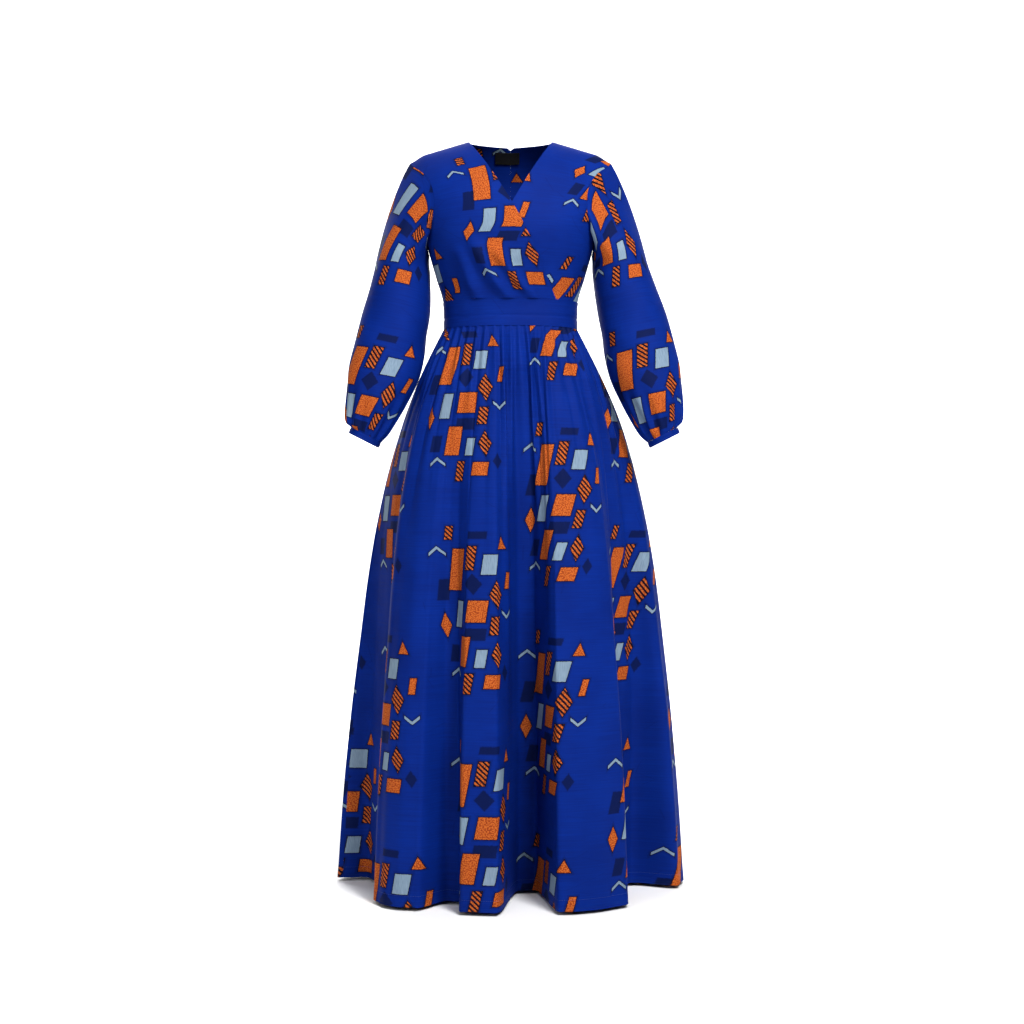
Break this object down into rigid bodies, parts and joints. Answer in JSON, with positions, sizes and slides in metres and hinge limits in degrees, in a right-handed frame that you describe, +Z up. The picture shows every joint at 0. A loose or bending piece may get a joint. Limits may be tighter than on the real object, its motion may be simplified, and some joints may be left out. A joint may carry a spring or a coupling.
{
  "type": "wrap dress",
  "caption": "Long wrap dress with a crossed V neck, waistband, full sleeves in narrow cuffs and a gathered floor-length skirt.",
  "frame": {"origin": "middle of the shoulder line, on the centre plane between the shoulder seams' outer ends", "axes": "+Z up along the dress, -Y out of its front, +X to the wearer's left"},
  "size_m": [0.6829, 0.5005, 1.4491],
  "materials": {
    "printed_cotton": "plain-woven wax-print cotton, slight sheen",
    "sleeve_cotton": "the same cotton, cut for the sleeves",
    "skirt_cotton": "the same cotton, cut for the skirt",
    "label_tape": "black woven tape, blank"
  },
  "bodies": {
    "root": {"bodice_front_right": "printed_cotton", "bodice_front_left": "printed_cotton", "bodice_back_left": "printed_cotton", "bodice_back_right": "printed_cotton", "sleeve_left": "sleeve_cotton", "sleeve_right": "sleeve_cotton", "cuff_left": "sleeve_cotton", "cuff_right": "sleeve_cotton", "waistband_front": "printed_cotton", "waistband_back_left": "printed_cotton", "waistband_back_right": "printed_cotton", "skirt_front": "skirt_cotton", "skirt_back_left": "skirt_cotton", "skirt_back_right": "skirt_cotton", "neck_label": "label_tape"}
  },
  "joints": []
}
